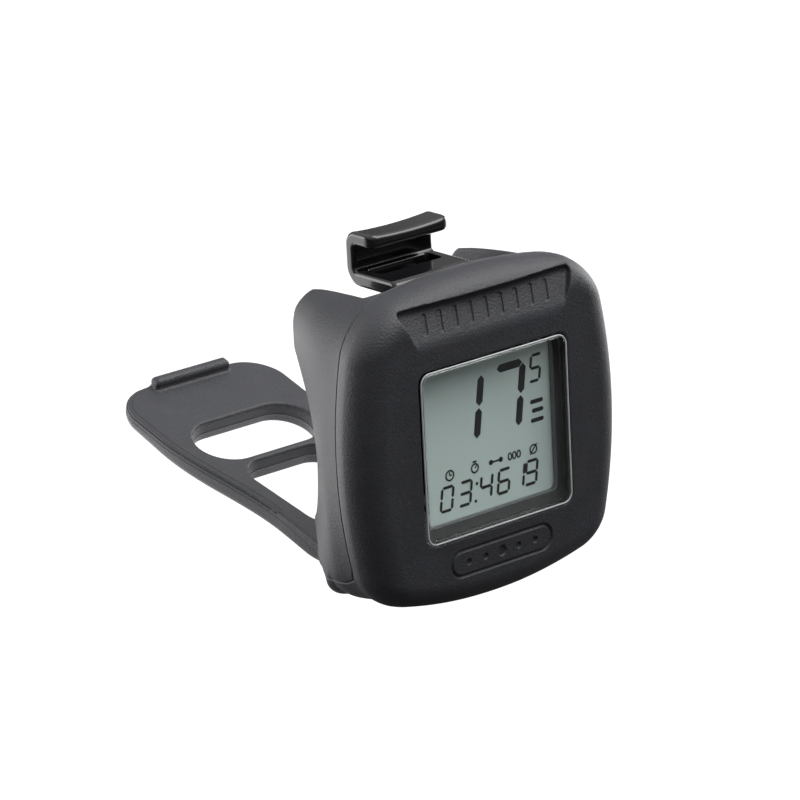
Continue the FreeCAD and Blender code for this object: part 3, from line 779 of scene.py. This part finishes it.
def lens_edge_mesh():
    """A thin light grey ring round the lens's front edge; its colour is a painted highlight standing
    in for the bright line of light along that edge.
    """
    sides = 8
    points, faces = [], []
    for j in range(sides):
        a = 2 * math.pi * j / sides
        out = EDGE_R * math.cos(a)
        for x, z in rounded_loop(LENS_HALF_W + out, LENS_HALF_H + out, LENS_CORNER + out):
            points.append((x, -0.06 + EDGE_R * math.sin(a), z))
    n = len(points) // sides
    for j in range(sides):
        for i in range(n):
            a, b = j * n + i, j * n + (i + 1) % n
            c, d = (j + 1) % sides * n + (i + 1) % n, (j + 1) % sides * n + i
            faces.append((a, b, c, d))
    mesh = raw_mesh("lens_edge_painted_highlight", np.array(points), faces)
    face_outward(mesh)
    mesh.polygons.foreach_set("use_smooth", [True] * len(mesh.polygons))
    return mesh


lens = add_object(lens_mesh(), FINISHES["lens_clear"])
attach(lens, "head")
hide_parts("display_lens")
# painted highlight ring round the lens's front edge
lens_edge = add_object(lens_edge_mesh(), EDGE)
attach(lens_edge, "head")


# ---------------------------------------------------------------------------
# Display symbols: thin solids on the polariser, in mm on the display's plane
# ---------------------------------------------------------------------------
SLANT = 0.144
INK_FRONT = LCD_FRONT - 0.035
INK_BACK = LCD_FRONT - 0.010
SEGMENTS = {"0": "abcdef", "1": "bc", "3": "abcdg", "4": "bcfg", "5": "acdfg", "6": "acdefg",
            "7": "abc", "9": "abcdfg"}


class Ink:
    """Collects flat outlines and turns them into one mesh of thin solids."""

    def __init__(self):
        self.points, self.faces = [], []

    def outline(self, corners):
        """A thin solid with this outline."""
        n, base = len(corners), len(self.points)
        self.points += [(x, INK_FRONT, z) for x, z in corners]
        self.points += [(x, INK_BACK, z) for x, z in corners]
        self.faces.append(tuple(base + i for i in range(n)))
        self.faces.append(tuple(base + n + i for i in reversed(range(n))))
        for i in range(n):
            j = (i + 1) % n
            self.faces.append((base + i, base + n + i, base + n + j, base + j))

    def bar(self, a, b, width, tips=0.5):
        """A straight stroke from a to b, whose ends are points tips times its width long."""
        ax, az = a
        bx, bz = b
        length = math.hypot(bx - ax, bz - az)
        ux, uz = (bx - ax) / length, (bz - az) / length
        w, t = width / 2, width * tips
        self.outline([(ax, az), (ax + ux * t - uz * w, az + uz * t + ux * w),
                      (bx - ux * t - uz * w, bz - uz * t + ux * w), (bx, bz),
                      (bx - ux * t + uz * w, bz - uz * t - ux * w),
                      (ax + ux * t + uz * w, az + uz * t - ux * w)])

    def ring(self, x, z, r, width, squash=1.0, steps=20):
        """A ring, as short straight strokes."""
        spots = [(x + r * squash * math.cos(2 * math.pi * i / steps),
                  z + r * math.sin(2 * math.pi * i / steps)) for i in range(steps)]
        for i in range(steps):
            self.bar(spots[i], spots[(i + 1) % steps], width, 0.1)

    def dot(self, x, z, r):
        """A filled disc, as a ten-sided outline."""
        self.outline([(x + r * math.cos(math.pi * i / 5), z + r * math.sin(math.pi * i / 5))
                      for i in range(10)])

    def digit(self, char, right, low, width, height, stroke):
        """A slanted seven-segment digit; right is its upper right corner's x."""
        gap = stroke * 0.12
        w, top, mid = stroke / 2, low + height, low + height / 2

        def spot(x, z):
            return x - (top - z) * SLANT, z

        left = right - width
        x0, x1 = left + w, right - w
        lines = {"a": ((x0 + gap, top - w), (x1 - gap, top - w)),
                 "d": ((x0 + gap, low + w), (x1 - gap, low + w)),
                 "g": ((x0 + gap, mid), (x1 - gap, mid)),
                 "b": ((x1, mid + gap), (x1, top - w - gap)),
                 "c": ((x1, low + w + gap), (x1, mid - gap)),
                 "f": ((x0, mid + gap), (x0, top - w - gap)),
                 "e": ((x0, low + w + gap), (x0, mid - gap))}
        for name in SEGMENTS[char]:
            a, b = lines[name]
            self.bar(spot(*a), spot(*b), stroke)

    def finish(self, name):
        """Makes the mesh's object and fixes it to the head."""
        mesh = raw_mesh(name, np.array(self.points), self.faces)
        face_outward(mesh)
        obj = add_object(mesh, INK)
        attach(obj, "head")


speed = Ink()
for char, right in (("1", 0.05), ("7", 7.6)):
    speed.digit(char, right, -0.55, 6.05, 10.15, 1.15)
speed.digit("5", 10.5, 5.6, 2.2, 4.1, 0.42)
speed.finish("lcd_speed")

clock = Ink()
for char, right in (("0", -6.2), ("3", -2.9), ("4", 0.85), ("6", 4.05), ("1", 6.7), ("9", 9.08)):
    clock.digit(char, right, -8.9, 2.4, 3.7, 0.42)
clock.dot(-2.25, -6.2, 0.24)
clock.dot(-2.6, -8.65, 0.24)
clock.finish("lcd_clock")

SIGN_Z = -3.85
CLOCK_X, TIMER_X, TRIP_X, ODO_X, AVERAGE_X = -7.0, -2.5, (0.4, 2.2), (3.85, 4.65, 5.45), 8.15


def draw_signs(ink):
    """Three bars by the speed, then a clock, a timer, a trip, a counter and an average sign."""
    for i, z in enumerate((2.9, 1.6, 0.2)):
        ink.bar((7.9 + 0.25 * (i == 1), z), (10.3, z), 0.6, 0.3)
    ink.ring(CLOCK_X, SIGN_Z, 0.70, 0.26)
    ink.bar((CLOCK_X, SIGN_Z), (CLOCK_X, SIGN_Z + 0.5), 0.2, 0.1)
    ink.bar((CLOCK_X, SIGN_Z), (CLOCK_X + 0.4, SIGN_Z), 0.2, 0.1)
    low = SIGN_Z - 0.08
    ink.ring(TIMER_X, low, 0.62, 0.26)
    ink.bar((TIMER_X - 0.35, SIGN_Z + 0.85), (TIMER_X + 0.35, SIGN_Z + 0.85), 0.26, 0.1)
    ink.bar((TIMER_X, low), (TIMER_X + 0.3, SIGN_Z + 0.22), 0.2, 0.1)
    for x in TRIP_X:
        ink.dot(x, SIGN_Z, 0.38)
    ink.bar((TRIP_X[0], SIGN_Z), (TRIP_X[1], SIGN_Z), 0.26, 0.1)
    for x in ODO_X:
        ink.ring(x, SIGN_Z, 0.5, 0.23, 0.62, 12)
    ink.ring(AVERAGE_X, SIGN_Z, 0.62, 0.25)
    ink.bar((AVERAGE_X - 0.65, SIGN_Z - 0.7), (AVERAGE_X + 0.65, SIGN_Z + 0.7), 0.2, 0.1)


signs = Ink()
draw_signs(signs)
signs.finish("lcd_signs")


# ---------------------------------------------------------------------------
# Floor, lights and camera
# ---------------------------------------------------------------------------
GLOW_WAY = (0.25, 0.97, 0)
GLOW_FRONT, GLOW_BACK = 0.02, 2.4
CAMERA_AIM = Vector((-0.0006, -0.0144, 0.0013))
CAMERA_DISTANCE = 0.65
CAMERA_AZIMUTH, CAMERA_ELEVATION = math.radians(-129.22), math.radians(17.716)
CAMERA_ROLL = math.radians(-2.99)
CAMERA_LENS = 210.9
# Each light's place and the side of its square, in metres, and its radiance
SOFTBOXES = {"softbox_top": ((0.22, -0.20, 0.42), 0.42, 4.4),
             "softbox_right": ((0.56, 0.05, 0.09), 0.26, 5.0),
             "softbox_left": ((-0.45, 0.55, 0.14), 0.50, 4.0)}


def floor_material():
    """White to look at. The light it throws is strong behind the object and weak in front.
    The ramp between the two runs along GLOW_WAY."""
    material = bpy.data.materials.new("floor_white")
    material.use_nodes = True
    nodes, links = material.node_tree.nodes, material.node_tree.links
    shader = nodes["Principled BSDF"]
    shader.inputs["Base Color"].default_value = (0.05, 0.05, 0.05, 1)
    shader.inputs["Roughness"].default_value = 1.0
    shader.inputs["Specular IOR Level"].default_value = 0.0
    shader.inputs["Emission Color"].default_value = (1, 1, 1, 1)
    place = nodes.new("ShaderNodeTexCoord")
    across = nodes.new("ShaderNodeVectorMath")
    across.operation = "DOT_PRODUCT"
    across.inputs[1].default_value = GLOW_WAY
    links.new(place.outputs["Object"], across.inputs[0])
    glow = nodes.new("ShaderNodeMapRange")
    glow.interpolation_type = "SMOOTHSTEP"
    glow.inputs["From Min"].default_value = -0.04
    glow.inputs["From Max"].default_value = 0.06
    glow.inputs["To Min"].default_value = GLOW_FRONT
    glow.inputs["To Max"].default_value = GLOW_BACK
    links.new(across.outputs["Value"], glow.inputs["Value"])
    path = nodes.new("ShaderNodeLightPath")
    seen = nodes.new("ShaderNodeMix")
    links.new(path.outputs["Is Camera Ray"], seen.inputs["Factor"])
    links.new(glow.outputs["Result"], seen.inputs["A"])
    seen.inputs["B"].default_value = 1.1
    links.new(seen.outputs["Result"], shader.inputs["Emission Strength"])
    return material


def add_floor():
    """A plain floor under the object."""
    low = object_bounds()[0][2]
    mesh = bpy.data.meshes.new("floor")
    size = 6.0
    mesh.from_pydata([(-size, -size, low), (size, -size, low), (size, size, low),
                      (-size, size, low)], [], [(0, 1, 2, 3)])
    floor = add_object(mesh, floor_material())


def add_softbox(name, place, size, radiance):
    """A square area light at place, in metres, aimed at the head."""
    data = bpy.data.lights.new(name, "AREA")
    data.shape = "SQUARE"
    data.size = size
    data.energy = radiance * math.pi * size * size
    light = bpy.data.objects.new(name, data)
    bpy.context.scene.collection.objects.link(light)
    light.location = place
    light.rotation_euler = (Vector((0, 0, 0)) - Vector(place)).to_track_quat("-Z", "Y").to_euler()


def add_world():
    """Bright overhead, dim near the horizon."""
    world = bpy.data.worlds.new("studio")
    bpy.context.scene.world = world
    world.use_nodes = True
    nodes, links = world.node_tree.nodes, world.node_tree.links
    place = nodes.new("ShaderNodeTexCoord")
    split = nodes.new("ShaderNodeSeparateXYZ")
    links.new(place.outputs["Generated"], split.inputs["Vector"])
    fade = nodes.new("ShaderNodeMapRange")
    fade.interpolation_type = "SMOOTHSTEP"
    fade.inputs["From Min"].default_value = 0.1
    fade.inputs["From Max"].default_value = 1.0
    fade.inputs["To Min"].default_value = 0.12
    fade.inputs["To Max"].default_value = 1.1
    links.new(split.outputs["Z"], fade.inputs["Value"])
    links.new(fade.outputs["Result"], nodes["Background"].inputs["Strength"])
    nodes["Background"].inputs["Color"].default_value = (1, 1, 1, 1)


def add_camera():
    """The camera, ahead of the object to its left and above it."""
    data = bpy.data.cameras.new("camera")
    data.sensor_width = 36.0
    data.lens = CAMERA_LENS
    data.clip_start = 0.01
    data.clip_end = 50.0
    camera = bpy.data.objects.new("camera", data)
    bpy.context.scene.collection.objects.link(camera)
    away = Vector((math.cos(CAMERA_ELEVATION) * math.cos(CAMERA_AZIMUTH),
                   math.cos(CAMERA_ELEVATION) * math.sin(CAMERA_AZIMUTH),
                   math.sin(CAMERA_ELEVATION)))
    level = Vector((0, 0, 1)).cross(away).normalized()
    upright = away.cross(level)
    right = level * math.cos(CAMERA_ROLL) + upright * math.sin(CAMERA_ROLL)
    turn = Matrix((right, away.cross(right), away)).transposed().to_4x4()
    camera.matrix_world = Matrix.Translation(CAMERA_AIM + CAMERA_DISTANCE * away) @ turn
    bpy.context.scene.camera = camera


add_floor()
for name, (place, size, radiance) in SOFTBOXES.items():
    add_softbox(name, place, size, radiance)
add_world()
add_camera()
bpy.context.scene.view_settings.view_transform = "Standard"
